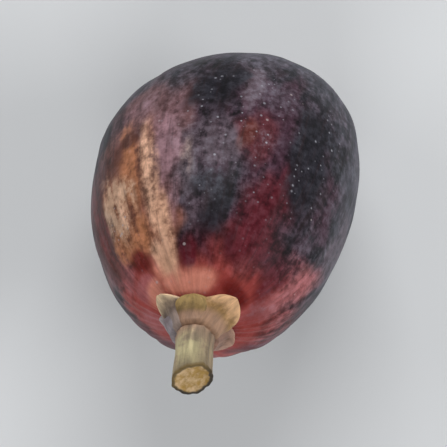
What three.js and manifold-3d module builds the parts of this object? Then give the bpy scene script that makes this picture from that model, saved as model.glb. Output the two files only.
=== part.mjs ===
// A fresh black fig, as picked. It sits on its plump belly and leans forward, so that the cut stem points up and to the
// front. It is two solids: the fruit, with the scaly eye at its blossom end, and the stem, with its ring of scale leaves
// round the foot. Millimetres, +Z up; the origin is on the surface the fig rests on, under the middle of the box round it.
import * as THREE from "three";
import { mergeVertices } from "three/addons/utils/BufferGeometryUtils.js";
import Module from "manifold-3d";

const wasm = await Module();
wasm.setup();

const { cos, sin, exp, PI } = Math;
const degrees = THREE.MathUtils.degToRad;
const smoothstep = THREE.MathUtils.smoothstep;

// How the fig stands: its axis leans forward from upright, and the widest ring's centre is this high and this far off
// the origin, which puts the flat under its centre of mass.
const LEAN = degrees(42);
const WIDEST_RING_CENTRE = new THREE.Vector3(-0.07, 5.57, 19.2);

// The fruit's form, along its own axis: z runs to the stem, y to the side that faces up, x sideways.
const WIDEST_RADIUS = 20;
const BLOSSOM_LENGTH = 18.5; // from the widest ring to the eye
const SHOULDER_LENGTH = 31.5; // from the widest ring to the stem
const BLOSSOM_FULLNESS = 0.78; // 1 is an ellipse, and less is fuller and flatter
const SHOULDER_FULLNESS = 0.91;
const BLOSSOM_BEND = new THREE.Vector2(5.0, 2.0); // how far the eye sits off the axis
const SHOULDER_BEND = new THREE.Vector2(1.1, 0);
const BELLY = { swell: 1.1, turn: 1.05, round: degrees(-105), spread: 0.5 };
const NECK = { rise: 1.0, radius: 6.0 };
const RIB_RELIEF = 0.2;

// The eye: a dimple with a low lip, closed by two rings of small scales that overlap like tiles.
const EYE = { depth: 1.1, radius: 2.7, lip: 0.3, lipRadius: 3.9, lipWidth: 1.0 };
const EYE_SCALE_RINGS = [
  { count: 7, radius: 2.5, length: 1.35, width: 1.45, thickness: 0.42, sunk: 0.1, first: 0.3 },
  { count: 5, radius: 1.25, length: 1.0, width: 0.95, thickness: 0.38, sunk: 0.3, first: 0.9 },
];
const EYE_SCALE = { lean: degrees(-17), overlap: degrees(14) };

// The stem, from where it is rooted in the shoulder to its cut.
const STEM_ROUTE = [
  [1.0, 0, 29.0],
  [1.1, 0, 32.4],
  [1.4, 0, 37.5],
  [2.3, 0, 44.4],
];
const STEM_RADII = [5.2, 5.2, 4.6, 3.6, 3.1, 2.85, 2.8, 2.85, 3.0, 3.15];
const STEM_FLUTE = 0.035; // share of the radius
const CUT = { bevel: 0.12, barkWidth: 0.45, pithSunk: 0.22, slant: -0.22 };

// Scale leaves lie round the stem's foot, over the shoulder: three with free tips, and two low ones between them.
const SCALE_LEAVES = [
  { towards: degrees(110), width: 6.8, reach: 5.4, lift: 0.3 },
  { towards: degrees(51), width: 3.8, reach: 7.2, lift: 0.9 },
  { towards: degrees(157), width: 2.8, reach: 6.9, lift: 0.7 },
  { towards: degrees(193), width: 3.4, reach: 5.5, lift: 0.2 },
  { towards: degrees(333), width: 3.8, reach: 6.1, lift: 0.5 },
];
const SCALE_LEAF = { root: 2.8, thickness: 1.0, tipWidth: 0.15, cup: 0.2, climb: 1.2, climbFrom: 5.2 };
const CLEARANCE = 0.3;

const FRUIT_RINGS = 44;
const FRUIT_SIDES = 72;
const STEM_SIDES = 22;

// The relief of the faint ribs that run from stem to eye, strongest on the shoulder.
function ribs(turn, round) {
  const alongFruit = sin(turn) ** 0.5 * (0.4 + 0.6 * smoothstep(turn, 1.5, 2.7));
  const waves = 0.6 * cos(11 * round + 0.7) + 0.4 * cos(17 * round - 1.9 + 0.6 * turn);
  return RIB_RELIEF * alongFruit * waves;
}

// A point of the skin. turn runs from 0 at the eye to PI at the stem, and round goes about the axis.
function skinPoint(turn, round) {
  const blossomSide = turn < PI / 2;
  const level = sin(turn);
  const across = cos(turn) ** 2;
  const bend = blossomSide ? BLOSSOM_BEND : SHOULDER_BEND;
  let radius = WIDEST_RADIUS * level ** (blossomSide ? BLOSSOM_FULLNESS : SHOULDER_FULLNESS);
  const roundFromBelly = THREE.MathUtils.euclideanModulo(round - BELLY.round + PI, 2 * PI) - PI;
  radius += BELLY.swell * exp(-(((turn - BELLY.turn) / BELLY.spread) ** 2) - (roundFromBelly / BELLY.spread) ** 2);
  radius += ribs(turn, round);
  let along = -cos(turn) * (blossomSide ? BLOSSOM_LENGTH : SHOULDER_LENGTH);
  if (blossomSide) {
    along += EYE.depth * exp(-((radius / EYE.radius) ** 2));
    along -= EYE.lip * exp(-(((radius - EYE.lipRadius) / EYE.lipWidth) ** 2));
  } else {
    along += NECK.rise * exp(-((radius / NECK.radius) ** 2));
  }
  return new THREE.Vector3(radius * cos(round) + across * bend.x, radius * sin(round) + across * bend.y, along);
}

// The skin's point moved off the surface, along its normal.
function liftedSkinPoint(turn, round, lift) {
  const step = 1e-3;
  const point = skinPoint(turn, round);
  const roundways = skinPoint(turn, round + step).sub(skinPoint(turn, round - step));
  const lengthways = skinPoint(turn + step, round).sub(skinPoint(turn - step, round));
  return point.addScaledVector(roundways.cross(lengthways).normalize(), lift);
}

// A closed mesh from rings of points, with one point at each end. pointAt takes the ring and the side.
function closedShell(rings, sides, pointAt, firstEnd, lastEnd) {
  const points = [firstEnd];
  for (let ring = 0; ring < rings; ring++) {
    for (let side = 0; side < sides; side++) {
      points.push(pointAt(ring, side));
    }
  }
  points.push(lastEnd);
  const last = points.length - 1;
  const at = (ring, side) => 1 + ring * sides + (side % sides);
  const triangles = [];
  for (let side = 0; side < sides; side++) {
    triangles.push(0, at(0, side + 1), at(0, side));
    for (let ring = 0; ring < rings - 1; ring++) {
      const [a, b] = [at(ring, side), at(ring, side + 1)];
      const [c, d] = [at(ring + 1, side + 1), at(ring + 1, side)];
      triangles.push(a, b, c, a, c, d);
    }
    triangles.push(at(rings - 1, side), at(rings - 1, side + 1), last);
  }
  return new THREE.BufferGeometry().setFromPoints(points).setIndex(triangles);
}

// A closed mesh as a solid, for joining and cutting.
function solid(geometry) {
  const bare = geometry.clone().deleteAttribute("normal").deleteAttribute("uv");
  const merged = mergeVertices(bare, 1e-4);
  return new wasm.Manifold(
    new wasm.Mesh({
      numProp: 3,
      vertProperties: merged.attributes.position.array,
      triVerts: new Uint32Array(merged.index.array),
    }),
  );
}

// A solid as a named mesh with its material.
function namedMesh(name, made, material) {
  const { vertProperties, triVerts } = made.getMesh();
  const geometry = new THREE.BufferGeometry();
  geometry.setAttribute("position", new THREE.BufferAttribute(vertProperties, 3));
  geometry.setIndex(new THREE.BufferAttribute(triVerts, 1));
  geometry.computeVertexNormals();
  const mesh = new THREE.Mesh(geometry, material);
  mesh.name = name;
  return mesh;
}

// From the fig's own frame to where it sits.
function seated(geometry) {
  const { x, y, z } = WIDEST_RING_CENTRE;
  return geometry.rotateX(LEAN).translate(x, y, z);
}

// The whole skin, lifted off by a given amount. Its rings crowd towards the eye and the stem, where the form turns fast.
function skinShell(lift) {
  const turnOf = (ring) => {
    const share = (ring + 1) / (FRUIT_RINGS + 1);
    return PI * (share - 0.13 * sin(2 * PI * share));
  };
  return closedShell(
    FRUIT_RINGS,
    FRUIT_SIDES,
    (ring, side) => liftedSkinPoint(turnOf(ring), (2 * PI * side) / FRUIT_SIDES, lift),
    skinPoint(0, 0).add(new THREE.Vector3(0, 0, -lift)),
    skinPoint(PI, 0).add(new THREE.Vector3(0, 0, lift)),
  );
}

// One scale of the eye: a flat lens that leans in over the opening, with one side over the next scale.
function eyeScale(ring, index) {
  const round = (2 * PI * (index + ring.first)) / ring.count;
  const eye = skinPoint(0, 0);
  const lens = new THREE.SphereGeometry(1, 9, 6);
  lens.scale(ring.length, ring.width, ring.thickness);
  lens.rotateX(EYE_SCALE.overlap);
  lens.rotateY(EYE_SCALE.lean);
  lens.translate(ring.radius, 0, ring.sunk);
  lens.rotateZ(round);
  return lens.translate(eye.x, eye.y, -BLOSSOM_LENGTH);
}

function makeFruit() {
  let fruit = solid(seated(skinShell(0)));
  for (const ring of EYE_SCALE_RINGS) {
    for (let index = 0; index < ring.count; index++) {
      fruit = fruit.add(solid(seated(eyeScale(ring, index))));
    }
  }
  const below = new THREE.BoxGeometry(80, 80, 20).translate(0, 0, -10);
  return fruit.subtract(solid(below));
}

// The stem as a closed tube: its flared foot, its fluted length, then the bark's rim and the sunken pith of the cut.
function stemTube() {
  const route = new THREE.CatmullRomCurve3(STEM_ROUTE.map((p) => new THREE.Vector3(...p)));
  const radiusCurve = new THREE.CatmullRomCurve3(STEM_RADII.map((radius, i) => new THREE.Vector3(i, radius, 0)));
  const sections = [];
  const steps = STEM_RADII.length * 2;
  const section = (share, radius, sunk, flute) => {
    sections.push({ share, radius, sunk, flute, slant: share === 1 ? CUT.slant : 0 });
  };
  for (let step = 0; step < steps; step++) {
    section(step / steps, radiusCurve.getPoint(step / steps).y, 0, STEM_FLUTE);
  }
  const rim = STEM_RADII.at(-1);
  section(1, rim, CUT.bevel, STEM_FLUTE);
  section(1, rim - CUT.bevel, 0, STEM_FLUTE);
  section(1, rim - CUT.barkWidth, 0, STEM_FLUTE);
  section(1, rim - CUT.barkWidth - 0.25, CUT.pithSunk, STEM_FLUTE / 2);
  section(1, rim / 3, CUT.pithSunk, 0);

  const sideways = new THREE.Vector3(1, 0, 0);
  const pointAt = (ring, side) => {
    const { share, radius, sunk, flute, slant } = sections[ring];
    const round = (2 * PI * side) / STEM_SIDES;
    const heading = route.getTangentAt(share);
    const upside = heading.clone().cross(sideways).normalize();
    const across = upside.clone().cross(heading);
    const fluted = radius * (1 + flute * (0.6 * cos(5 * round + 0.4) + 0.4 * cos(8 * round + 2)));
    return route
      .getPointAt(share)
      .addScaledVector(heading, slant * fluted * cos(round) - sunk)
      .addScaledVector(across, fluted * cos(round))
      .addScaledVector(upside, fluted * sin(round));
  };
  const pithCentre = route.getPointAt(1).addScaledVector(route.getTangentAt(1), -CUT.pithSunk);
  return closedShell(sections.length, STEM_SIDES, pointAt, route.getPointAt(0), pithCentre);
}

// The turn at which the shoulder has a given radius.
function shoulderTurn(radius) {
  return PI - Math.asin((radius / WIDEST_RADIUS) ** (1 / SHOULDER_FULLNESS));
}

// One scale leaf: a thick blade that climbs down from the stem, follows the shoulder and lifts off towards its tip.
function scaleLeaf({ towards, width, reach, lift }) {
  const { root, tipWidth, thickness, cup, climb, climbFrom } = SCALE_LEAF;
  const lengthSteps = 7;
  const widthSteps = 10;
  const bladePoint = (lengthShare, widthShare, face) => {
    const taper = tipWidth + (1 - tipWidth) * (1 - lengthShare ** 2.4) ** 0.5;
    const radius = root + (reach - root) * lengthShare * (1 - 0.12 * widthShare ** 2);
    const round = towards + (widthShare * width * taper) / radius;
    const edge = (1 - widthShare ** 2) ** 0.5;
    const offSkin = CLEARANCE + lift * lengthShare ** 1.6 + cup * widthShare ** 2;
    const depth = thickness * (0.35 + 0.65 * edge) * (1 - 0.4 * lengthShare ** 3);
    const height = depth + climb * edge * (1 - smoothstep(radius, root, climbFrom));
    return liftedSkinPoint(shoulderTurn(radius), round, offSkin + (face ? height : 0));
  };
  // Each section across the blade is a ring: out along the upper face and back along the lower one.
  const sides = 2 * widthSteps + 2;
  const pointAt = (ring, side) => {
    const face = side <= widthSteps;
    const step = face ? side : sides - 1 - side;
    return bladePoint(sin((PI / 2) * (ring / (lengthSteps - 1))), 1 - (2 * step) / widthSteps, face);
  };
  const middle = (lengthShare) => bladePoint(lengthShare, 0, true).lerp(bladePoint(lengthShare, 0, false), 0.5);
  return closedShell(lengthSteps, sides, pointAt, middle(0), middle(1));
}

function makeStem() {
  let stem = solid(seated(stemTube()));
  for (const leaf of SCALE_LEAVES) {
    stem = stem.add(solid(seated(scaleLeaf(leaf))));
  }
  return stem.subtract(solid(seated(skinShell(CLEARANCE))));
}

const fig = new THREE.Group();

// Dark purple skin with a dull waxy bloom.
const skinMaterial = new THREE.MeshStandardMaterial({ color: 0x3b2a38, roughness: 0.55, metalness: 0 });
fig.add(namedMesh("fruit", makeFruit(), skinMaterial));

// Green-tan stem and scale leaves.
const stemMaterial = new THREE.MeshStandardMaterial({ color: 0x9a8f63, roughness: 0.7, metalness: 0 });
fig.add(namedMesh("stem", makeStem(), stemMaterial));

export default fig;
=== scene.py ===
import math

import bpy
import numpy as np
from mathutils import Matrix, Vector


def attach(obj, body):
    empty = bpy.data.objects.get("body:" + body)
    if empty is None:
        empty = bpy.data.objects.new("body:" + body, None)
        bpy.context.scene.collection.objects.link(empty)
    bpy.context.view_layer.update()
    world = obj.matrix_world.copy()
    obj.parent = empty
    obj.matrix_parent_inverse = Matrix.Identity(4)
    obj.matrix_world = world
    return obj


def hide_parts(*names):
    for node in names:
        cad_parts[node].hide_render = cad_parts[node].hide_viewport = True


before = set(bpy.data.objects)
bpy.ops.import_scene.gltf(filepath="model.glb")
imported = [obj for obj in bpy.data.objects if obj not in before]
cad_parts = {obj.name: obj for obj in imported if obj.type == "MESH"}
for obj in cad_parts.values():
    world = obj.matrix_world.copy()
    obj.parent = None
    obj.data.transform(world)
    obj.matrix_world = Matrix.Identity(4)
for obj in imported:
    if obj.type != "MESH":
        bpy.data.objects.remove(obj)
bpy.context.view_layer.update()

# The fruit
# A fig is a fleshy pouch that grew in one piece, closed by a small eye. Its thin skin is drawn into faint
# ribs that run from the stem to the eye. It is dark purple with a dull wax bloom, red round the stem, and
# tan where a leaf shaded it.

MM = 0.001
LEAN = math.radians(42)  # of the fig's axis, forward from upright
WIDEST_RING_CENTRE = np.array([-0.07, 5.57, 19.2])

# The form along the fig's own axis, in millimetres, as in the part: z runs to the stem, y to the side that
# faces up.
WIDEST_RADIUS = 20
BLOSSOM_LENGTH, BLOSSOM_FULLNESS, BLOSSOM_BEND = 18.5, 0.78, (5.0, 2.0)
SHOULDER_LENGTH, SHOULDER_FULLNESS, SHOULDER_BEND = 31.5, 0.91, (1.1, 0.0)
BELLY = dict(swell=1.1, turn=1.05, around=math.radians(-105), spread=0.5)
NECK = dict(rise=1.0, radius=6.0)
RIB_RELIEF = 0.2
EYE = dict(depth=1.1, radius=2.7, lip=0.3, lip_radius=3.9, lip_width=1.0)

SKIN_RINGS = 256
SKIN_SIDES = 372
RING_CROWDING = 0.13  # how far the rings of the mesh draw together at the two ends
DENT_RELIEF, DENT_SIZE = 0.05, 7.0
CREASE_RELIEF, CREASE_WIDTH = 0.045, 1.3
PUCKER_RELIEF, PUCKER_SIZE = 0.05, 2.4
GRAIN_RADIUS, GRAIN_LENGTH = 20, 24  # of the skin, round the axis and along it for each radian of turn


def smoothstep(value, low, high):
    """0 below low, 1 above high, and an even S-curve between them."""
    share = np.clip((value - low) / (high - low), 0, 1)
    return share * share * (3 - 2 * share)


def skin_point(turn, around):
    """A point of the skin, in the fig's own frame. turn runs from 0 at the eye to pi at the stem, around
    goes about the axis. The radius is the widest one times sin(turn) to the power of the fullness, plus the
    belly's swell and the ribs, and the centre line bends away by cos(turn) squared."""
    level, across = np.clip(np.sin(turn), 0, 1), np.cos(turn) ** 2
    blossom = turn < math.pi / 2
    radius = WIDEST_RADIUS * level ** np.where(blossom, BLOSSOM_FULLNESS, SHOULDER_FULLNESS)
    from_belly = (around - BELLY["around"] + math.pi) % (2 * math.pi) - math.pi
    bulge = ((turn - BELLY["turn"]) / BELLY["spread"]) ** 2 + (from_belly / BELLY["spread"]) ** 2
    radius = radius + BELLY["swell"] * np.exp(-bulge)
    rib_waves = 0.6 * np.cos(11 * around + 0.7) + 0.4 * np.cos(17 * around - 1.9 + 0.6 * turn)
    radius = radius + RIB_RELIEF * level**0.5 * (0.4 + 0.6 * smoothstep(turn, 1.5, 2.7)) * rib_waves
    dimple = EYE["depth"] * np.exp(-((radius / EYE["radius"]) ** 2))
    dimple = dimple - EYE["lip"] * np.exp(-(((radius - EYE["lip_radius"]) / EYE["lip_width"]) ** 2))
    neck = NECK["rise"] * np.exp(-((radius / NECK["radius"]) ** 2))
    along = -np.cos(turn) * np.where(blossom, BLOSSOM_LENGTH, SHOULDER_LENGTH)
    along = along + np.where(blossom, dimple, neck)
    bend_x, bend_y = (across * np.where(blossom, b, s) for b, s in zip(BLOSSOM_BEND, SHOULDER_BEND))
    return np.stack([radius * np.cos(around) + bend_x, radius * np.sin(around) + bend_y, along], -1)


def lifted(turn, around, lift):
    """The skin's point moved along the surface's normal, which is the cross product of the two ways along
    it."""
    step = 1e-3
    inner = np.clip(turn, step, math.pi - step)
    roundways = skin_point(turn, around + step) - skin_point(turn, around - step)
    lengthways = skin_point(inner + step, around) - skin_point(inner - step, around)
    normal = np.cross(roundways, lengthways)
    normal = normal / np.maximum(np.linalg.norm(normal, axis=-1, keepdims=True), 1e-12)
    return skin_point(turn, around) + normal * np.asarray(lift)[..., None]


def seated(points):
    """From the fig's own frame in millimetres to where it sits in metres: leaned about X, then moved."""
    x, y, z = np.moveaxis(points, -1, 0)
    leaned = [x, y * math.cos(LEAN) - z * math.sin(LEAN), y * math.sin(LEAN) + z * math.cos(LEAN)]
    return (np.stack(leaned, -1) + WIDEST_RING_CENTRE) * MM


def waves(points, size, seed, count=14):
    """A smooth random field between about -1 and 1: the sum of plane waves of one length in seeded random
    directions."""
    draw = np.random.default_rng(seed)
    directions = draw.normal(size=(count, 3))
    directions *= 2 * math.pi / size / np.linalg.norm(directions, axis=1, keepdims=True)
    phases = draw.uniform(0, 2 * math.pi, count)
    return sum(np.cos(points @ d + p) for d, p in zip(directions, phases)) / math.sqrt(count)


def closed_mesh(name, rings, first_end, last_end):
    """A closed surface from rings of points, an array (rings, sides, 3) in metres, with a fan to a point at
    each end. The rings run anticlockwise as seen from the last end, so the faces point outwards."""
    count, sides = rings.shape[:2]
    points = np.vstack([[first_end], rings.reshape(-1, 3), [last_end]])
    ring, side = np.meshgrid(np.arange(count - 1), np.arange(sides), indexing="ij")
    here, beside = 1 + ring * sides + side, 1 + ring * sides + (side + 1) % sides
    quads = np.stack([here, beside, beside + sides, here + sides], -1).reshape(-1, 4)
    edge = np.arange(sides)
    after, top = (edge + 1) % sides, 1 + (count - 1) * sides
    first_fan = np.stack([0 * edge, 1 + after, 1 + edge], -1)
    last_fan = np.stack([top + edge, top + after, 0 * edge + len(points) - 1], -1)
    mesh = bpy.data.meshes.new(name)
    mesh.from_pydata(points.tolist(), [], quads.tolist() + first_fan.tolist() + last_fan.tolist())
    mesh.shade_smooth()
    made = bpy.data.objects.new(name, mesh)
    bpy.context.scene.collection.objects.link(made)
    return made


def with_ends(values, first, last):
    """A value for each point of a closed mesh, in its order: the first end, the rings, and the last end."""
    return np.concatenate([np.atleast_1d(first), values.ravel(), np.atleast_1d(last)])


def paint(made, name, values):
    """Stores one number for each point of a mesh, for its material to read."""
    layer = made.data.attributes.new(name, "FLOAT", "POINT")
    layer.data.foreach_set("value", np.asarray(values, np.float32))


def paint_grain(made, vectors):
    """Stores a vector in millimetres for each point of a mesh. Its material draws its streaks along them."""
    layer = made.data.attributes.new("grain", "FLOAT_VECTOR", "POINT")
    layer.data.foreach_set("vector", (vectors * MM).ravel().astype(np.float32))


share = (np.arange(SKIN_RINGS) + 1) / (SKIN_RINGS + 1)
turn, around = np.meshgrid(
    math.pi * (share - RING_CROWDING * np.sin(2 * math.pi * share)),
    np.arange(SKIN_SIDES) * 2 * math.pi / SKIN_SIDES,
    indexing="ij",
)
# grain follows the skin: its z runs along the ribs, at the skin's real length, and x and y go round.
grain = np.stack([GRAIN_RADIUS * np.cos(around), GRAIN_RADIUS * np.sin(around), GRAIN_LENGTH * turn], -1)

# The skin has shallow dents, creases along the ribs, and a finer pucker round the stem. They fade out at
# both ends.
relief = DENT_RELIEF * waves(skin_point(turn, around), DENT_SIZE, 3) * smoothstep(turn, 0.3, 0.8)
creases = waves(grain * [1, 1, 0.12], CREASE_WIDTH * 2, 5) * (0.5 + 0.5 * waves(grain * [1, 1, 0.5], 11, 6))
relief = relief + CREASE_RELIEF * creases * smoothstep(turn, 0.4, 1.2)
pucker = waves(grain * [1, 1, 0.05], PUCKER_SIZE, 8) * smoothstep(turn, 2.35, 2.85)
relief = (relief + PUCKER_RELIEF * pucker) * smoothstep(math.pi - turn, 0.08, 0.3)
rings = seated(lifted(turn, around, relief))
rings[..., 2] = np.maximum(rings[..., 2], 0)  # The belly has settled flat where it rests.
eye_point, stem_point = (seated(skin_point(np.array(t), np.array(0.0))) for t in (0.0, math.pi))
skin = closed_mesh("fig_skin", rings, eye_point, stem_point)
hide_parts("fruit")
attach(skin, "root")

paint_grain(skin, np.vstack([[[0, 0, 0]], grain.reshape(-1, 3), [[0, 0, GRAIN_LENGTH * math.pi]]]))

# The marks on the skin, each in degrees: turn from the eye, and around the axis, where 90 is the side that
# faces up. long and wide are half sizes, and slant is how far a mark drifts round for each degree towards
# the stem. After a mark's colour come its strength and how ragged it is.
MARKS = [
    ("plum", "#452a37", 0.8, 1.0, [
        dict(turn=84, around=71, long=22, wide=5, slant=0.05),
        dict(turn=108, around=69, long=14, wide=6, slant=-0.25),
        dict(turn=100, around=80, long=26, wide=13),
        dict(turn=112, around=100, long=14, wide=14),
        dict(turn=120, around=30, long=16, wide=8),
        dict(turn=122, around=235, long=22, wide=9),
        dict(turn=112, around=330, long=26, wide=8),
    ]),
    ("mauve_grey", "#62525a", 0.6, 1.2, [
        dict(turn=83, around=89, long=12, wide=5),
        dict(turn=111, around=99, long=9, wide=10),
        dict(turn=118, around=113, long=12, wide=6),
        dict(turn=110, around=6, long=12, wide=9),
        dict(turn=134, around=104, long=10, wide=11, strength=0.45),
        dict(turn=84, around=136, long=11, wide=7),
        dict(turn=146, around=203, long=14, wide=15),
    ]),
    ("eye_blush", "#4a272c", 0.85, 1.0, [
        dict(turn=0, around=0, long=13, wide=900),
    ]),
    ("dusky_rose", "#6c4a4b", 0.9, 0.4, [
        dict(turn=104, around=134, long=22, wide=20),
        dict(turn=124, around=178, long=24, wide=17),
        dict(turn=136, around=194, long=12, wide=18),
    ]),
    ("red_shoulder", "#9c433d", 1.0, 0.8, [
        dict(turn=176, around=0, long=22, wide=900),
        dict(turn=167, around=36, long=25, wide=60),
        dict(turn=167, around=76, long=19, wide=24),
        dict(turn=168, around=190, long=25, wide=60),
        dict(turn=170, around=285, long=34, wide=75),
        dict(turn=150, around=352, long=22, wide=20, strength=0.6),
    ]),
    ("crimson", "#551620", 0.95, 0.75, [
        dict(turn=138, around=65, long=18, wide=18, slant=-0.1),
        dict(turn=147, around=34, long=9, wide=13, strength=0.8),
        dict(turn=150, around=113, long=7, wide=9),
        dict(turn=118, around=62, long=13, wide=7, strength=0.6),
        dict(turn=147, around=94, long=7, wide=20, strength=0.5),
        dict(turn=148, around=250, long=14, wide=24),
        dict(turn=140, around=318, long=16, wide=14),
    ]),
    ("brown_ground", "#7a4a3a", 0.95, 0.3, [
        dict(turn=126, around=147, long=25, wide=20),
        dict(turn=142, around=128, long=16, wide=11),
    ]),
    ("rose_column", "#a65f60", 0.85, 0.6, [
        dict(turn=145, around=14, long=20, wide=12, slant=0.1),
        dict(turn=144, around=176, long=6, wide=12),
        dict(turn=135, around=190, long=9, wide=8, strength=0.5),
        dict(turn=157, around=170, long=5, wide=14),
        dict(turn=160, around=210, long=6, wide=14),
    ]),
    ("salmon", "#d08672", 0.9, 0.6, [
        dict(turn=160, around=120, long=6, wide=30),
        dict(turn=161, around=160, long=5, wide=26),
        dict(turn=155, around=142, long=5, wide=9),
    ]),
    ("pink_band", "#96727a", 0.85, 0.7, [
        dict(turn=112, around=124, long=15, wide=7.5),
        dict(turn=97, around=138, long=7, wide=11, strength=0.6),
        dict(turn=131, around=120, long=9, wide=5, strength=0.6),
    ]),
    ("red_brown", "#59242a", 0.95, 0.5, [
        dict(turn=106, around=80, long=10, wide=9),
    ]),
    ("rust", "#5e2a1e", 0.8, 0.9, [
        dict(turn=107, around=86, long=6, wide=4),
    ]),
    ("orange_brown", "#ab6f4c", 0.9, 1.0, [
        dict(turn=118, around=145, long=17, wide=8),
        dict(turn=128, around=160, long=12, wide=11),
        dict(turn=139, around=154, long=7, wide=17),
        dict(turn=138, around=146, long=6, wide=8),
    ]),
    ("burnt_edge", "#4c241a", 0.85, 0.8, [
        dict(turn=110, around=158, long=9, wide=8, strength=0.8),
        dict(turn=104, around=143, long=3, wide=7),
        # The next two are partly the skin's own dark brown and partly painted shade along the left edge.
        dict(turn=122, around=177, long=17, wide=11),
        dict(turn=136, around=181, long=10, wide=8, strength=0.85),
        dict(turn=128, around=142, long=10, wide=1.6, strength=0.45),
    ]),
    ("mottled_tan", "#b79a82", 0.7, 1.7, [
        dict(turn=125, around=158, long=12, wide=10),
        dict(turn=126, around=146, long=8, wide=5, strength=0.55),
        dict(turn=118, around=112, long=8, wide=4, strength=0.3),
    ]),
    ("pale_tan", "#c99b7f", 0.92, 1.0, [
        dict(turn=121, around=133, long=16, wide=5.5, slant=-0.06, strength=0.95),
        dict(turn=104, around=135, long=7, wide=4, strength=0.4),
        dict(turn=141, around=128, long=18, wide=7, slant=-0.1, strength=0.82),
        dict(turn=152, around=135, long=7, wide=9),
    ]),
    ("cream_streak", "#e2b296", 0.75, 0.9, [
        dict(turn=119, around=133, long=15, wide=3, slant=-0.06, strength=0.75),
        dict(turn=127, around=154, long=7, wide=4, strength=0.6),
    ]),
    ("maroon", "#681a16", 0.95, 0.7, [
        dict(turn=148, around=156, long=5, wide=11),
        # Painted shadow: dark red under the tip of the right scale leaf.
        dict(turn=160, around=50, long=5, wide=24),
        dict(turn=157, around=15, long=8, wide=25, strength=0.5),
        # Partly the skin's own red-brown, partly painted shade along the left edge.
        dict(turn=122, around=178, long=16, wide=8, strength=0.55),
    ]),
    ("blue_black", "#17151d", 0.92, 1.0, [
        dict(turn=84, around=99, long=12, wide=6),
        dict(turn=92, around=106, long=10, wide=10),
        dict(turn=104, around=54, long=22, wide=12),
        dict(turn=132, around=94, long=12, wide=13, strength=0.75),
    ]),
]


def mark(spot):
    """How much of a mark covers each point: 1 inside and 0 outside, by the distance from its middle over its
    half sizes. Random waves bend that distance, so the outline wanders."""
    seed = round(1000 * spot["turn"] + spot["around"])
    lengthways = np.degrees(turn) - spot["turn"]
    drift = spot.get("slant", 0) * lengthways
    sideways = (np.degrees(around) - spot["around"] - drift + 180) % 360 - 180
    lengthways = lengthways / spot["long"] + 0.26 * waves(skin_point(turn, around), 9, seed)
    sideways = sideways / spot["wide"] + 0.26 * waves(skin_point(turn, around), 6, seed + 1)
    distance = (np.abs(lengthways) ** 2.5 + np.abs(sideways) ** 2.5) ** 0.4
    return spot.get("strength", 1) * (1 - smoothstep(distance, 0.3, 1.6))


for name, *_, spots in MARKS:
    mask = np.max([mark(spot) for spot in spots], axis=0)
    paint(skin, name, with_ends(mask, 0, mask[-1].mean()))

# The wax is whole on the blossom half and down the sides, and rubbed off round the stem and in a few bare
# places.
WAX = [
    dict(turn=30, around=60, long=50, wide=400, strength=0.78),
    dict(turn=84, around=5, long=44, wide=28),
    dict(turn=76, around=122, long=16, wide=10, strength=0.5),
    dict(turn=100, around=270, long=45, wide=80),
    dict(turn=116, around=100, long=14, wide=20, strength=0.5),
]
BARE = [
    dict(turn=84, around=106, long=18, wide=16),
    dict(turn=104, around=52, long=20, wide=12),
    dict(turn=118, around=168, long=26, wide=30),
    dict(turn=92, around=205, long=16, wide=12, strength=0.8),
    dict(turn=66, around=328, long=12, wide=14, strength=0.7),
    dict(turn=112, around=282, long=16, wide=9, strength=0.8),
    dict(turn=58, around=150, long=11, wide=12, strength=0.6),
]
# Dry wax lies in separate grains where the bloom has been rubbed. The pale grains are partly painted
# highlight: they also stand for the glints of the waxy skin.
DUST_AND_GLINTS = [
    dict(turn=102, around=52, long=28, wide=14),
    dict(turn=108, around=95, long=22, wide=22),
    dict(turn=84, around=86, long=12, wide=14, strength=0.8),
    dict(turn=127, around=158, long=10, wide=9),
    dict(turn=100, around=270, long=34, wide=60, strength=0.6),
]
dust_and_glint_mask = np.max([mark(spot) for spot in DUST_AND_GLINTS], axis=0)
paint(skin, "dust_and_glints", with_ends(dust_and_glint_mask, 0, 0))
wax_mask = np.max([mark(spot) for spot in WAX], axis=0)
wax_mask = wax_mask * (1 - 0.85 * np.max([mark(spot) for spot in BARE], axis=0))
paint(skin, "wax", with_ends(wax_mask, 1, 0))


def hex_colour(code):
    """An sRGB hex value as the linear colour that a shader takes."""
    parts = [int(code[i : i + 2], 16) / 255 for i in (1, 3, 5)]
    return [c / 12.92 if c <= 0.04045 else ((c + 0.055) / 1.055) ** 2.4 for c in parts] + [1.0]


def add(kind, sockets=None, output=0, **settings):
    """Adds one node to the tree in hand and returns one of its outputs. settings are its properties, and
    sockets its inputs, each a value or another node's output."""
    made = tree.nodes.new("ShaderNode" + kind)
    for name, value in settings.items():
        setattr(made, name, value)
    for name, value in (sockets or {}).items():
        if isinstance(value, bpy.types.NodeSocket):
            tree.links.new(value, made.inputs[name])
        else:
            made.inputs[name].default_value = value
    return made.outputs[output]


# Sockets go by number. A Mix takes its factor at 0, its numbers at 2 and 3 or its colours at 6 and 7, and
# gives its colour at output 2. A Map Range takes its value at 0, its limits at 1 and 2, and what they become
# at 3 and 4.

# The width of each pattern's features, in millimetres. The powder and the grains of wax, which are partly
# painted glints, are drawn coarser than life.
STREAK_SIZE, FINE_STREAK_SIZE, PATCH_SIZE, SPECKLE_SIZE = 2.2, 0.9, 3.0, 1.3
POWDER_SIZE, DUST_AND_GLINT_SPACING, LENTICEL_SPACING = 0.8, 0.9, 2.6
SMOOTH_SHOULDER = math.radians(138), math.radians(162)  # the turns between which the skin's patterns fade out

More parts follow.
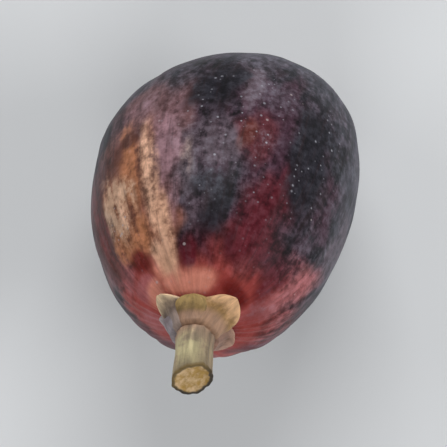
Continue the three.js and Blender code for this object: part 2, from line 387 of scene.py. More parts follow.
# Fig skin: a thin cuticle over dark pigment, with a wax bloom. It is satin, dull where the bloom is whole,
# and it brightens to grey where it turns away, because the wax scatters light.
cuticle = bpy.data.materials.new("fig_cuticle_with_wax_bloom")
cuticle.use_nodes = True
tree = cuticle.node_tree
shader = tree.nodes["Principled BSDF"]
place = add("TexCoord", output="Object")
ribwise = add("Attribute", output="Vector", attribute_name="grain")
long_grain = add("VectorMath", {0: ribwise, 1: (1, 1, 0.12)}, operation="MULTIPLY")
short_grain = add("VectorMath", {0: ribwise, 1: (1, 1, 0.55)}, operation="MULTIPLY")
coarse = {"Vector": long_grain, "Scale": 1 / (STREAK_SIZE * MM), "Detail": 6, "Roughness": 0.6}
streaks = add("TexNoise", coarse)
fine = {"Vector": long_grain, "Scale": 1 / (FINE_STREAK_SIZE * MM), "Detail": 4, "Roughness": 0.6}
fine_streaks = add("TexNoise", fine)
patchy = {"Vector": short_grain, "Scale": 1 / (PATCH_SIZE * MM), "Detail": 5, "Roughness": 0.65}
patches = add("TexNoise", patchy)
speckled = {"Vector": place, "Scale": 1 / (SPECKLE_SIZE * MM), "Detail": 3, "Roughness": 0.65}
speckle = add("TexNoise", speckled)

tone = add("Math", {0: streaks, 1: patches}, operation="ADD")
tone = add("MapRange", {0: tone, 1: 0.85, 2: 1.2}, interpolation_type="SMOOTHSTEP")
colour = add("Mix", {0: tone, 6: hex_colour("#16131a"), 7: hex_colour("#33252e")}, 2, data_type="RGBA")
grit = add("MapRange", {0: speckle, 1: 0.32, 2: 0.68, 3: 0.35, 4: 1.65})
colour = add("Mix", {0: 1.0, 6: colour, 7: grit}, 2, data_type="RGBA", blend_type="MULTIPLY")

# A mark's cover is uneven: streaked along the ribs, patchy and speckled, so its edge is ragged and its
# middle mottled. That fades out on the smooth skin round the stem.
cover = add("Math", {0: patches, 1: speckle}, operation="ADD")
cover = add("Math", {0: streaks, 1: 1.3, 2: cover}, operation="MULTIPLY_ADD")
cover = add("MapRange", {0: cover, 1: 1.35, 2: 1.95, 3: 0.45, 4: 1.6})
lengthwise = add("SeparateXYZ", {0: ribwise}, output=2)
fade_from, fade_to = (GRAIN_LENGTH * MM * angle for angle in SMOOTH_SHOULDER)
fade_ends = {1: fade_from, 2: fade_to, 3: 1.0, 4: 0.3}
fade = add("MapRange", {0: lengthwise, **fade_ends}, interpolation_type="SMOOTHSTEP")
cover = add("Mix", {0: fade, 2: 1.15, 3: cover})
for name, hex_code, strength, ragged, _ in MARKS:
    mask = add("Attribute", output="Fac", attribute_name=name)
    mask_cover = add("Mix", {0: ragged, 2: 1.05, 3: cover}, clamp_factor=False)
    mask = add("Math", {0: mask, 1: mask_cover}, operation="MULTIPLY")
    mask = add("MapRange", {0: mask, 1: 0.08, 2: 1.0, 4: strength}, interpolation_type="SMOOTHSTEP")
    colour = add("Mix", {0: mask, 6: colour, 7: hex_colour(hex_code)}, 2, data_type="RGBA")

# Thin dark lines run along the ribs through all the marks, and the pigment is uneven at two scales.
lines = add("MapRange", {0: fine_streaks, 1: 0.5, 2: 0.68, 4: 0.42}, interpolation_type="SMOOTHSTEP")
lines = add("Math", {0: lines, 1: fade}, operation="MULTIPLY")
colour = add("Mix", {0: lines, 6: colour, 7: hex_colour("#2a181b")}, 2, data_type="RGBA")
uneven = add("MapRange", {0: patches, 1: 0.32, 2: 0.68, 3: 0.7, 4: 1.3})
grit = add("MapRange", {0: speckle, 1: 0.32, 2: 0.68, 3: 0.66, 4: 1.34})
uneven = add("Math", {0: uneven, 1: grit}, operation="MULTIPLY")
colour = add("Mix", {0: fade, 6: colour, 7: uneven}, 2, data_type="RGBA", blend_type="MULTIPLY")

# The bloom is a thin powder. It is even where it is whole, apart from streaks along the ribs, and crumbles
# at its edges.
whole = add("Attribute", output="Fac", attribute_name="wax")
wax = add("Math", {0: whole, 1: 0.24, 2: 0.02}, operation="MULTIPLY_ADD")
powdery = {"Vector": short_grain, "Scale": 1 / (POWDER_SIZE * MM), "Detail": 5, "Roughness": 0.7}
powder = add("TexNoise", powdery)
soft_grit = add("MapRange", {0: powder, 1: 0.34, 2: 0.66, 3: 0.4, 4: 1.7})
crumbs = add("MapRange", {0: speckle, 1: 0.42, 2: 0.66, 3: 0.15, 4: 2.8}, interpolation_type="SMOOTHSTEP")
wax_grit = add("Mix", {0: whole, 2: crumbs, 3: soft_grit})
wax_streaks = add("MapRange", {0: streaks, 1: 0.36, 2: 0.64, 3: 0.6, 4: 1.4})
thin_to_thick = {1: 0.34, 2: 0.62, 3: 0.6, 4: 1.25}
wax_patches = add("MapRange", {0: patches, **thin_to_thick}, interpolation_type="SMOOTHSTEP")
for factor in (wax_patches, wax_streaks, wax_grit):
    wax = add("Math", {0: wax, 1: factor}, operation="MULTIPLY")
colour = add("Mix", {0: wax, 6: colour, 7: hex_colour("#858893")}, 2, data_type="RGBA")

# Grains of dry wax, drawn a little larger than life so that they show. They are partly painted highlight:
# pale specks that stand for the glints of the waxy skin.
cells = {"Vector": place, "Scale": 1 / (DUST_AND_GLINT_SPACING * MM)}
nearest = add("TexVoronoi", cells, output="Distance")
chance = add("SeparateColor", {0: add("TexVoronoi", cells, output="Color")})
reach = add("MapRange", {0: chance, 1: 0.25, 2: 1.0, 4: 0.32})
dot = add("Math", {0: reach, 1: nearest}, operation="SUBTRACT")
dot = add("MapRange", {0: dot, 1: 0.0, 2: 0.18}, interpolation_type="SMOOTHSTEP")
dust_and_glints = add("Attribute", output="Fac", attribute_name="dust_and_glints")
dust_and_glints = add("Math", {0: dust_and_glints, 1: 0.65, 2: 0.1}, operation="MULTIPLY_ADD")
few_to_many = {1: 0.36, 2: 0.56, 3: 0.3, 4: 1.2}
dust_and_glint_patches = add("MapRange", {0: patches, **few_to_many}, interpolation_type="SMOOTHSTEP")
dot = add("Math", {0: dot, 1: dust_and_glints}, operation="MULTIPLY")
dot = add("Math", {0: dot, 1: dust_and_glint_patches}, operation="MULTIPLY")
colour = add("Mix", {0: dot, 6: colour, 7: hex_colour("#a0a0a9")}, 2, data_type="RGBA")

# Lenticels are pale corky pores, half a millimetre wide and a few millimetres apart.
shifted = add("VectorMath", {0: place, 1: (1.3 * MM, 0.4 * MM, 2.1 * MM)}, operation="ADD")
cells = {"Vector": shifted, "Scale": 1 / (LENTICEL_SPACING * MM)}
nearest = add("TexVoronoi", cells, output="Distance")
chance = add("SeparateColor", {0: add("TexVoronoi", cells, output="Color")})
reach = add("MapRange", {0: chance, 1: 0.45, 2: 1.0, 4: 0.125})
pore = add("Math", {0: reach, 1: nearest}, operation="SUBTRACT")
pore = add("MapRange", {0: pore, 1: 0.0, 2: 0.06}, interpolation_type="SMOOTHSTEP")
pore_cover = add("Math", {0: pore, 1: 0.5}, operation="MULTIPLY")
colour = add("Mix", {0: pore_cover, 6: colour, 7: hex_colour("#b9acac")}, 2, data_type="RGBA")
tree.links.new(colour, shader.inputs["Base Color"])

tree.links.new(add("MapRange", {0: wax, 1: 0.0, 2: 0.4, 3: 0.42, 4: 0.62}), shader.inputs["Roughness"])
shader.inputs["IOR"].default_value = 1.42
shader.inputs["Specular IOR Level"].default_value = 0.11
shader.inputs["Sheen Weight"].default_value = 0.06
shader.inputs["Sheen Roughness"].default_value = 0.4
shader.inputs["Sheen Tint"].default_value = hex_colour("#c8ccd8")
height = add("Math", {0: streaks, 1: 0.16}, operation="MULTIPLY")
height = add("Math", {0: speckle, 1: 0.07, 2: height}, operation="MULTIPLY_ADD")
height = add("Math", {0: pore, 1: 0.05, 2: height}, operation="MULTIPLY_ADD")
tree.links.new(add("Bump", {"Height": height, "Distance": 1 * MM, "Strength": 0.8}), shader.inputs["Normal"])
skin.data.materials.append(cuticle)

# The eye
# Where the pouch closes, opposite the stem, small dry scales lean in over the opening in rings and overlap
# like tiles.
EYE_SCALE_RINGS = [
    dict(count=7, radius=2.5, length=1.4, width=1.65, thickness=0.32, sunk=0.28, first=0.3),
    dict(count=5, radius=1.25, length=1.05, width=1.1, thickness=0.3, sunk=0.5, first=0.9),
]
EYE_SCALE_LEAN, EYE_SCALE_OVERLAP = math.radians(-15), math.radians(19)
EYE_SCALE_POINT = 0.4  # how wide a scale's inner end is, as a share of its width
EYE_SCALE_KEEL, EYE_SCALE_KEEL_WIDTH = 0.07, 0.4
EYE_SCALE_WRINKLE, EYE_SCALE_WRINKLE_SIZE = 0.05, 1.1
EYE_SCALE_RINGS_IN_MESH, EYE_SCALE_SIDES = 16, 28


def turned(points, axis, angle):
    """Points turned about one of the fig's own axes, 0 for x, 1 for y and 2 for z."""
    a, b = (axis + 1) % 3, (axis + 2) % 3
    out = points.copy()
    out[..., a] = points[..., a] * np.cos(angle) - points[..., b] * np.sin(angle)
    out[..., b] = points[..., a] * np.sin(angle) + points[..., b] * np.cos(angle)
    return out


eye_centre = skin_point(np.array(0.0), np.array(0.0))
scale_parts = []
for ring_number, ring in enumerate(EYE_SCALE_RINGS):
    for index in range(ring["count"]):
        scale_turn, scale_around = np.meshgrid(
            np.linspace(0.06, math.pi - 0.06, EYE_SCALE_RINGS_IN_MESH),
            np.arange(EYE_SCALE_SIDES) * 2 * math.pi / EYE_SCALE_SIDES,
            indexing="ij",
        )
        lens_x = np.sin(scale_turn) * np.cos(scale_around)
        lens_y = np.sin(scale_turn) * np.sin(scale_around)
        lens = np.stack([lens_x, lens_y, -np.cos(scale_turn)], -1)
        point = EYE_SCALE_POINT + (1 - EYE_SCALE_POINT) * smoothstep(lens[..., 0], -1.0, 0.3)
        grown_in = smoothstep(lens[..., 0], -0.5, 0.8)
        margin = smoothstep(np.hypot(lens[..., 0], lens[..., 1]), 0.75, 1.0) * (1 - grown_in)
        lens = lens * [ring["length"], ring["width"], ring["thickness"]]
        lens[..., 1] *= point
        keel = np.exp(-((lens[..., 1] / EYE_SCALE_KEEL_WIDTH) ** 2)) * np.sin(scale_turn)
        lens[..., 2] -= EYE_SCALE_KEEL * keel
        lens = turned(turned(lens, 0, EYE_SCALE_OVERLAP), 1, EYE_SCALE_LEAN)
        lens = lens + [ring["radius"], 0, ring["sunk"]]
        wrinkle = waves(lens, EYE_SCALE_WRINKLE_SIZE, 40 + 10 * ring_number + index)
        lens = lens + EYE_SCALE_WRINKLE * wrinkle[..., None]
        lens = turned(lens, 2, 2 * math.pi * (index + ring["first"]) / ring["count"])
        lens = seated(lens + [eye_centre[0], eye_centre[1], -BLOSSOM_LENGTH])
        scale = closed_mesh("scale", lens, lens[0].mean(0), lens[-1].mean(0))
        paint(scale, "grown_in", with_ends(grown_in, grown_in[0].mean(), grown_in[-1].mean()))
        paint(scale, "margin", with_ends(margin, 0, 0))
        scale_parts.append(scale)
bpy.ops.object.select_all(action="DESELECT")
for part in scale_parts:
    part.select_set(True)
bpy.context.view_layer.objects.active = scale_parts[0]
bpy.ops.object.join()
eye_scales = scale_parts[0]
eye_scales.name = "eye_scales"
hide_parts("fruit")
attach(eye_scales, "root")

# Scale tissue: thin, dry and matt, red-brown with paler worn edges, and dark as the skin where it grows out
# of it.
scale_tissue = bpy.data.materials.new("dry_eye_scale")
scale_tissue.use_nodes = True
tree = scale_tissue.node_tree
shader = tree.nodes["Principled BSDF"]
place = add("TexCoord", output="Object")
mottle = add("TexNoise", {"Vector": place, "Scale": 1 / (0.9 * MM), "Detail": 5, "Roughness": 0.65})
tone = add("MapRange", {0: mottle, 1: 0.38, 2: 0.64}, interpolation_type="SMOOTHSTEP")
colour = add("Mix", {0: tone, 6: hex_colour("#35191c"), 7: hex_colour("#74453f")}, 2, data_type="RGBA")
grown_in = add("Attribute", output="Fac", attribute_name="grown_in")
skin_tone = add("Mix", {0: tone, 6: hex_colour("#241a20"), 7: hex_colour("#4d4048")}, 2, data_type="RGBA")
colour = add("Mix", {0: grown_in, 6: colour, 7: skin_tone}, 2, data_type="RGBA")
margin = add("Attribute", output="Fac", attribute_name="margin")
margin = add("Math", {0: margin, 1: tone}, operation="MULTIPLY")
colour = add("Mix", {0: margin, 6: colour, 7: hex_colour("#b08a72")}, 2, data_type="RGBA")
tree.links.new(colour, shader.inputs["Base Color"])
shader.inputs["Roughness"].default_value = 0.62
bump = add("Bump", {"Height": mottle, "Distance": 0.3 * MM, "Strength": 0.6})
tree.links.new(bump, shader.inputs["Normal"])
eye_scales.data.materials.append(scale_tissue)

# The stem
# The stalk is green wood under a thin bark. It flares into the fruit's shoulder at its foot, where the two
# are grown together, and ends in a knife cut that shows the dark rim of bark, the pale wood and the mottled
# pith.
STEM_ROUTE = np.array([[1.0, 0, 29.0], [1.1, 0, 32.4], [1.4, 0, 37.5], [2.3, 0, 44.4]])
STEM_RADII = [5.2, 5.2, 4.6, 3.6, 3.1, 2.85, 2.8, 2.85, 3.0, 3.15]
STEM_FLUTE = 0.035
BARK_GRAIN_LENGTH = 15
CUT = dict(bevel=0.12, bark_width=0.45, pith_sunk=0.22, slant=-0.22)
STEM_STEPS = 110
STEM_SIDES = 150
BARK_RINGS, PITH_RINGS = 4, 26


def smooth_path(points, shares):
    """Points along a smooth curve through the given ones, as a Catmull-Rom spline of even parameter."""
    points = np.asarray(points, float)
    padded = np.vstack([2 * points[0] - points[1], points, 2 * points[-1] - points[-2]])
    position = np.clip(np.asarray(shares), 0, 1) * (len(points) - 1)
    span = np.minimum(position.astype(int), len(points) - 2)
    t = (position - span)[..., None]
    a, b, c, d = (padded[span + k] for k in range(4))
    return 0.5 * (2 * b + (c - a) * t + (2 * a - 5 * b + 4 * c - d) * t**2 + (3 * b - a - 3 * c + d) * t**3)


rim = STEM_RADII[-1]
wall = np.linspace(0, 1, STEM_STEPS)
wall_radii = smooth_path(np.array(STEM_RADII)[:, None], wall)[:, 0]
bark_radii = np.linspace(rim - 0.2, rim - CUT["bark_width"], BARK_RINGS)
pith_radii = np.linspace(rim - 0.55, 0.15, PITH_RINGS)
cut_radii = np.concatenate([[rim - 0.03, rim - CUT["bevel"]], bark_radii, pith_radii])
section_share = np.concatenate([wall, np.ones(len(cut_radii))])
section_radius = np.concatenate([wall_radii, cut_radii])
bark_sunk = np.full(BARK_RINGS, -CUT["bevel"])
pith_sunk = CUT["pith_sunk"] * smoothstep(np.linspace(0, 1, PITH_RINGS), 0, 0.25) - CUT["bevel"]
sunk = np.concatenate([np.zeros(STEM_STEPS), [-0.06, -CUT["bevel"]], bark_sunk, pith_sunk])
side_angles = np.arange(STEM_SIDES) * 2 * math.pi / STEM_SIDES
stem_share, side = np.meshgrid(section_share, side_angles, indexing="ij")
radius = np.broadcast_to(section_radius[:, None], stem_share.shape)
centre = smooth_path(STEM_ROUTE, stem_share)
heading = smooth_path(STEM_ROUTE, stem_share + 1e-3) - smooth_path(STEM_ROUTE, stem_share - 1e-3)
heading = heading / np.linalg.norm(heading, axis=-1, keepdims=True)
upside = np.cross(heading, [1.0, 0, 0])
upside = upside / np.linalg.norm(upside, axis=-1, keepdims=True)
across = np.cross(upside, heading)
flute = STEM_FLUTE * (0.6 * np.cos(5 * side + 0.4) + 0.4 * np.cos(8 * side + 2))
bark_grain = np.stack([3 * np.cos(side), 3 * np.sin(side), BARK_GRAIN_LENGTH * stem_share], -1)
bark = 0.05 * waves(bark_grain * [1, 1, 0.12], 0.9, 21) + 0.12 * waves(bark_grain * [1, 1, 0.6], 4.0, 22)
inward = smoothstep(radius, 0.3, rim - 0.3)
on_face = (np.arange(len(section_share)) >= STEM_STEPS)[:, None]
out = radius * (1 + flute * inward) + bark * np.where(on_face, inward, 1.0)
face_points = np.stack([radius * np.cos(side), radius * np.sin(side), 0 * side], -1)
face_relief = np.where(on_face, 0.05 * waves(face_points, 1.1, 23), 0)
lean_in = CUT["slant"] * smoothstep(stem_share, 0.93, 1.0) * out * np.cos(side)
further = lean_in - np.broadcast_to(sunk[:, None], side.shape) - CUT["bevel"] + face_relief
stem_points = centre + heading * further[..., None]
stem_points = stem_points + across * (out * np.cos(side))[..., None]
stem_points = stem_points + upside * (out * np.sin(side))[..., None]
stem_rings = seated(stem_points)
stem = closed_mesh("fig_stem", stem_rings, stem_rings[0].mean(0), stem_rings[-1].mean(0))
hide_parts("stem")
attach(stem, "root")

# What the bark's material reads. The cut's rim is wider and darker on one side.
cut_face = np.broadcast_to(on_face * smoothstep(rim - radius, 0.3, 0.6), side.shape)
paint(stem, "cut_face", with_ends(cut_face, 0, 1))
dark_side = 0.5 + 0.5 * np.cos(side + 0.9)
rim_line = smoothstep(radius, rim - 0.55 - 0.25 * dark_side, rim - 0.25 - 0.2 * dark_side)
paint(stem, "cut_rim", with_ends(smoothstep(stem_share, 0.965, 1.0) * rim_line, 0, 0))
paint(stem, "darker_side", with_ends(dark_side, 0, 0))
paint(stem, "towards_cut", with_ends(stem_share, 0, 1))
# Painted shade: one side of the stem is marked to turn darker and browner.
paint(stem, "painted_shade_side", with_ends(smoothstep(np.cos(side - 0.35), 0.1, 0.95), 0, 0))
paint_grain(stem, np.vstack([[[0, 0, 0]], bark_grain.reshape(-1, 3), [[0, 0, BARK_GRAIN_LENGTH]]]))

# Green stem bark: soft, matt and finely furrowed lengthways, brown and mauve at the foot and green further
# out, with painted shade down one side.
stem_bark = bpy.data.materials.new("green_stem_bark")
stem_bark.use_nodes = True
tree = stem_bark.node_tree
shader = tree.nodes["Principled BSDF"]
place = add("TexCoord", output="Object")
ribwise = add("Attribute", output="Vector", attribute_name="grain")
drawn_out = add("VectorMath", {0: ribwise, 1: (1, 1, 0.15)}, operation="MULTIPLY")
fibres = add("TexNoise", {"Vector": drawn_out, "Scale": 1 / (0.8 * MM), "Detail": 5, "Roughness": 0.6})
blotches = add("TexNoise", {"Vector": place, "Scale": 1 / (3.2 * MM), "Detail": 4, "Roughness": 0.6})
outward = add("Attribute", output="Fac", attribute_name="towards_cut")
greenness = add("MapRange", {0: outward, 1: 0.48, 2: 0.74}, interpolation_type="SMOOTHSTEP")
colour = add("Mix", {0: greenness, 6: hex_colour("#ab8570"), 7: hex_colour("#b0a57e")}, 2, data_type="RGBA")
patchy = add("MapRange", {0: blotches, 1: 0.42, 2: 0.62, 4: 0.7}, interpolation_type="SMOOTHSTEP")
colour = add("Mix", {0: patchy, 6: colour, 7: hex_colour("#7d6a5a")}, 2, data_type="RGBA")
weathered = add("MapRange", {0: outward, 1: 0.78, 2: 1.0, 4: 0.5}, interpolation_type="SMOOTHSTEP")
colour = add("Mix", {0: weathered, 6: colour, 7: hex_colour("#7a6a4c")}, 2, data_type="RGBA")
# Painted shade on one side of the stem, tinted grey-brown.
painted_shade_side = add("Attribute", output="Fac", attribute_name="painted_shade_side")
painted_shade_side = add("Math", {0: painted_shade_side, 1: 0.65}, operation="MULTIPLY")
colour = add("Mix", {0: painted_shade_side, 6: colour, 7: hex_colour("#7b6552")}, 2, data_type="RGBA")
furrow = add("MapRange", {0: fibres, 1: 0.32, 2: 0.68, 3: 0.6, 4: 1.35})
colour = add("Mix", {0: 1.0, 6: colour, 7: furrow}, 2, data_type="RGBA", blend_type="MULTIPLY")
wood_mottle = add("TexNoise", {"Vector": place, "Scale": 1 / (1.0 * MM), "Detail": 4, "Roughness": 0.6})
wood_tone = add("MapRange", {0: wood_mottle, 1: 0.35, 2: 0.65}, interpolation_type="SMOOTHSTEP")
wood = add("Mix", {0: wood_tone, 6: hex_colour("#a9853f"), 7: hex_colour("#d2b288")}, 2, data_type="RGBA")
face = add("Attribute", output="Fac", attribute_name="cut_face")
colour = add("Mix", {0: face, 6: colour, 7: wood}, 2, data_type="RGBA")
rim_mask = add("Attribute", output="Fac", attribute_name="cut_rim")
rim_mask = add("Math", {0: rim_mask, 1: 0.95}, operation="MULTIPLY")
darker_side = add("Attribute", output="Fac", attribute_name="darker_side")
darker_side = add("MapRange", {0: darker_side, 1: 0.15, 2: 0.75}, interpolation_type="SMOOTHSTEP")
rim_colour = add("Mix", {0: darker_side, 6: hex_colour("#6a5426"), 7: hex_colour("#261b0d")}, 2, data_type="RGBA")
colour = add("Mix", {0: rim_mask, 6: colour, 7: rim_colour}, 2, data_type="RGBA")
tree.links.new(colour, shader.inputs["Base Color"])
shader.inputs["Roughness"].default_value = 0.66
height = add("Math", {0: fibres, 1: 0.5, 2: wood_mottle}, operation="MULTIPLY_ADD")
bump = add("Bump", {"Height": height, "Distance": 0.25 * MM, "Strength": 0.7})
tree.links.new(bump, shader.inputs["Normal"])
stem.data.materials.append(stem_bark)

# The scale leaves
# Thick little leaves grew round the stem's foot and lie over the shoulder. Three have free rounded tips.
# Between them, where they grew together, their joined foot shows as two low folds.
# Each leaf's dark colour is partly painted shade, towards the stem and in the middle of the blade.
SCALE_LEAVES = [
    dict(
        name="scale_leaf_foot", towards=math.radians(110), width=6.8, reach=5.4, lift=0.3,
        light="#ab8d55", dark="#6e5428", root="#a07c66", dark_and_shaded_centre=0.35,
    ),
    dict(
        name="scale_leaf_right", towards=math.radians(51), width=3.8, reach=7.2, lift=0.9,
        light="#e0b184", dark="#8f6d3c", root="#9c7862", dark_and_shaded_centre=0.2,
    ),
    dict(
        name="scale_leaf_left", towards=math.radians(157), width=2.8, reach=6.9, lift=0.7,
        light="#dcc09c", dark="#5c4a40", root="#9a867c", dark_and_shaded_centre=0.7,
    ),
    dict(
        name="scale_leaf_fold", towards=math.radians(193), width=3.4, reach=5.5, lift=0.2,
        light="#a59a9a", dark="#6e6064", root="#8d8488", dark_and_shaded_centre=0.5,
    ),
    dict(
        name="scale_leaf_front", towards=math.radians(333), width=3.8, reach=6.1, lift=0.5,
        light="#b08a76", dark="#735240", root="#94705f", dark_and_shaded_centre=0.3,
    ),
]
SCALE_LEAF = dict(root=2.8, thickness=1.0, tip_width=0.15, cup=0.2, climb=1.2, climb_from=5.2)
SCALE_LEAF_FILLET = dict(height=1.0, reach=0.5)  # where a leaf runs up into the stem
SCALE_LEAF_RIPPLE, SCALE_LEAF_RIPPLE_SIZE = 0.12, 2.6


def shoulder_turn(radius):
    """The turn at which the shoulder has a given radius."""
    return math.pi - np.arcsin((radius / WIDEST_RADIUS) ** (1 / SHOULDER_FULLNESS))


def leaf_point(leaf, length, width, face, seed):
    """A point of a scale leaf. length runs from root to tip and width from side to side. The blade narrows
    as the root of 1 - length^2.4, follows the shoulder, and lifts off it towards the tip. face adds its
    thickness, its climb up to the stem and the fillet against it. Below 0, length runs on into the stem."""
    root, tip_width = SCALE_LEAF["root"], SCALE_LEAF["tip_width"]
    grown = np.maximum(length, 0)
    taper = tip_width + (1 - tip_width) * np.sqrt(np.clip(1 - grown**2.4, 0, 1))
    from_axis = root + (leaf["reach"] - root) * length * (1 - 0.12 * width**2)
    leaf_around = leaf["towards"] + width * leaf["width"] * taper / from_axis
    edge = np.sqrt(np.clip(1 - width**2, 0, 1))
    off_skin = leaf["lift"] * grown**1.6 + SCALE_LEAF["cup"] * width**2 - 0.05
    depth = face * SCALE_LEAF["thickness"] * (0.35 + 0.65 * edge) * (1 - 0.4 * grown**3)
    climbing = 1 - smoothstep(from_axis, root, SCALE_LEAF["climb_from"])
    depth = depth + face * SCALE_LEAF["climb"] * edge * climbing
    fillet = np.exp(-np.maximum(from_axis - root, 0) / SCALE_LEAF_FILLET["reach"])
    depth = depth + face * SCALE_LEAF_FILLET["height"] * edge**0.5 * fillet
    flat_point = np.stack([from_axis * np.cos(leaf_around), from_axis * np.sin(leaf_around), 0 * length], -1)
    ripple = SCALE_LEAF_RIPPLE * waves(flat_point, SCALE_LEAF_RIPPLE_SIZE, seed)
    return lifted(shoulder_turn(from_axis), leaf_around, off_skin + depth + ripple)


SCALE_LEAF_STEPS, SCALE_LEAF_STEPS_ACROSS = 40, 36
for number, leaf in enumerate(SCALE_LEAVES):
    across_steps = SCALE_LEAF_STEPS_ACROSS
    step = np.concatenate([np.arange(across_steps + 1), np.arange(across_steps, -1, -1)])
    lengths = np.concatenate([[-0.25, -0.1], np.sin(np.linspace(0, math.pi / 2, SCALE_LEAF_STEPS))])
    length, width = np.meshgrid(lengths, 1 - 2 * step / across_steps, indexing="ij")
    face = np.broadcast_to((np.arange(len(step)) <= across_steps).astype(float), length.shape)
    blade = seated(leaf_point(leaf, length, width, face, 60 + number))
    made = closed_mesh(leaf["name"], blade, blade[0].mean(0), blade[-1].mean(0))
    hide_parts("stem")
    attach(made, "root")
    paint(made, "towards_tip", with_ends(length, 0, 1))
    drawn_in = leaf["width"] * width * (1 - 0.5 * length)
    leaf_grain = np.stack([drawn_in, leaf["reach"] * length, 0 * length], -1).reshape(-1, 3)
    paint_grain(made, np.vstack([leaf_grain[:1], leaf_grain, leaf_grain[-1:]]))
    inside = 1 - smoothstep(np.maximum(np.abs(width), length), 0.5, 0.92)
    paint(made, "inside", with_ends(inside, 0, 0))

    # Leaf tissue, half dry: leathery, matt and finely veined, paler at its rim and darker inside. The dark
    # inside is partly the tissue's own colour and partly painted shade in the cupped blade.
    tissue = bpy.data.materials.new(leaf["name"] + "_tissue")
    tissue.use_nodes = True
    tree = tissue.node_tree
    shader = tree.nodes["Principled BSDF"]
    place = add("TexCoord", output="Object")
    blotches = add("TexNoise", {"Vector": place, "Scale": 1 / (1.6 * MM), "Detail": 5, "Roughness": 0.6})
    # Painted shade: the tone runs dark towards the stem, where the leaves meet it, and pale towards the tip.
    tip = add("Attribute", output="Fac", attribute_name="towards_tip")
    tone = add("Math", {0: tip, 1: 0.8, 2: blotches}, operation="MULTIPLY_ADD")
    tone = add("MapRange", {0: tone, 1: 0.7, 2: 1.2}, interpolation_type="SMOOTHSTEP")
    dark, light = hex_colour(leaf["dark"]), hex_colour(leaf["light"])
    colour = add("Mix", {0: tone, 6: dark, 7: light}, 2, data_type="RGBA")
    # Partly painted shade: the middle of each leaf is darkened towards its dark colour, most in the left
    # leaf.
    dark_and_shaded_centre = add("Attribute", output="Fac", attribute_name="inside")
    dark_and_shaded_centre = add("Math", {0: dark_and_shaded_centre, 1: leaf["dark_and_shaded_centre"]}, operation="MULTIPLY")
    colour = add("Mix", {0: dark_and_shaded_centre, 6: colour, 7: dark}, 2, data_type="RGBA")
    root_ends = {1: 0.16, 2: 0.46, 3: 0.8, 4: 0.0}
    rooted = add("MapRange", {0: tip, **root_ends}, interpolation_type="SMOOTHSTEP")
    colour = add("Mix", {0: rooted, 6: colour, 7: hex_colour(leaf["root"])}, 2, data_type="RGBA")
    ribwise = add("Attribute", output="Vector", attribute_name="grain")
    drawn_out = add("VectorMath", {0: ribwise, 1: (1, 0.15, 1)}, operation="MULTIPLY")
    veins = add("TexNoise", {"Vector": drawn_out, "Scale": 1 / (0.6 * MM), "Detail": 4, "Roughness": 0.6})
    vein_tone = add("MapRange", {0: veins, 1: 0.35, 2: 0.65, 3: 0.74, 4: 1.22})
    colour = add("Mix", {0: 1.0, 6: colour, 7: vein_tone}, 2, data_type="RGBA", blend_type="MULTIPLY")
    tree.links.new(colour, shader.inputs["Base Color"])
    shader.inputs["Roughness"].default_value = 0.6
    height = add("Math", {0: blotches, 1: 0.8, 2: veins}, operation="MULTIPLY_ADD")
    bump = add("Bump", {"Height": height, "Distance": 0.3 * MM, "Strength": 0.6})
    tree.links.new(bump, shader.inputs["Normal"])
    made.data.materials.append(tissue)

# The floor, the light and the camera
# A plain pale floor under soft light from four wide panels, one on each side. The camera looks straight down.
FLOOR_HALF = 1.5
mesh = bpy.data.meshes.new("floor")
corners = [(x * FLOOR_HALF, y * FLOOR_HALF, 0) for x, y in ((-1, -1), (1, -1), (1, 1), (-1, 1))]
mesh.from_pydata(corners, [], [(0, 1, 2, 3)])
floor = bpy.data.objects.new("floor", mesh)
bpy.context.scene.collection.objects.link(floor)
paper = bpy.data.materials.new("matt_paper")
paper.use_nodes = True
paper.node_tree.nodes["Principled BSDF"].inputs["Base Color"].default_value = hex_colour("#dcdee0")
paper.node_tree.nodes["Principled BSDF"].inputs["Roughness"].default_value = 0.9
floor.data.materials.append(paper)

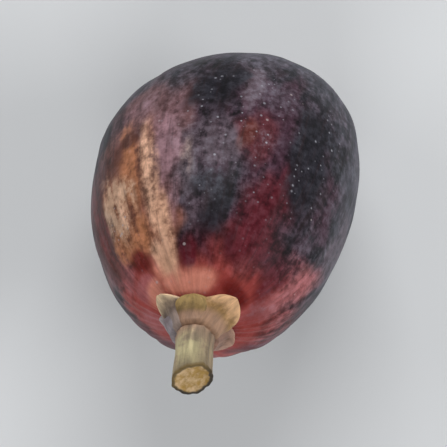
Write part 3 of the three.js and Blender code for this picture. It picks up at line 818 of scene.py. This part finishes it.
# The room is bright towards its walls and dark overhead, so the fig's top keeps its depth of colour.
world = bpy.data.worlds.new("soft_room")
world.use_nodes = True
tree = world.node_tree
direction = add("TexCoord", output="Generated")
rise = add("SeparateXYZ", {0: direction}, output=2)
glow = add("MapRange", {0: rise, 1: 0.0, 2: 0.7, 3: 0.6, 4: 0.1}, interpolation_type="SMOOTHSTEP")
tree.links.new(glow, tree.nodes["Background"].inputs["Strength"])
tree.nodes["Background"].inputs["Color"].default_value = hex_colour("#f0f2f4")
bpy.context.scene.world = world

FIG_MIDDLE_HEIGHT = 20 * MM
LIGHTS = [
    dict(name="back_panel", at=(-0.15, 0.75, 0.6), size=0.6, watts=5.5),
    dict(name="right_panel", at=(0.75, 0.15, 0.45), size=0.5, watts=3.4),
    dict(name="left_panel", at=(-0.75, 0.05, 0.55), size=0.5, watts=1.6),
    dict(name="front_panel", at=(0.1, -0.75, 0.6), size=0.5, watts=2.4),
]
for lamp in LIGHTS:
    data = bpy.data.lights.new(lamp["name"], "AREA")
    data.size = lamp["size"]
    data.energy = lamp["watts"]
    light = bpy.data.objects.new(lamp["name"], data)
    light.location = lamp["at"]
    aim = Vector((0, 0, FIG_MIDDLE_HEIGHT)) - Vector(lamp["at"])
    light.rotation_euler = aim.to_track_quat("-Z", "Y").to_euler()
    bpy.context.scene.collection.objects.link(light)

CAMERA_HEIGHT = 3.0
SENSOR_WIDTH = 36
WIDEST_HEIGHT = 22 * MM  # at which the fig's outline is seen
VIEW_WIDTH = 68 * MM  # across the frame, at that height
VIEW_CENTRE = (1.08 * MM, -0.19 * MM)
VIEW_ROLL = math.radians(14)
camera_data = bpy.data.cameras.new("camera")
camera_data.sensor_width = SENSOR_WIDTH
camera_data.lens = SENSOR_WIDTH * (CAMERA_HEIGHT - WIDEST_HEIGHT) / VIEW_WIDTH
camera = bpy.data.objects.new("camera", camera_data)
camera.location = (*VIEW_CENTRE, CAMERA_HEIGHT)
camera.rotation_euler = (0, 0, VIEW_ROLL)
bpy.context.scene.collection.objects.link(camera)
bpy.context.scene.camera = camera
bpy.context.scene.view_settings.view_transform = "Standard"
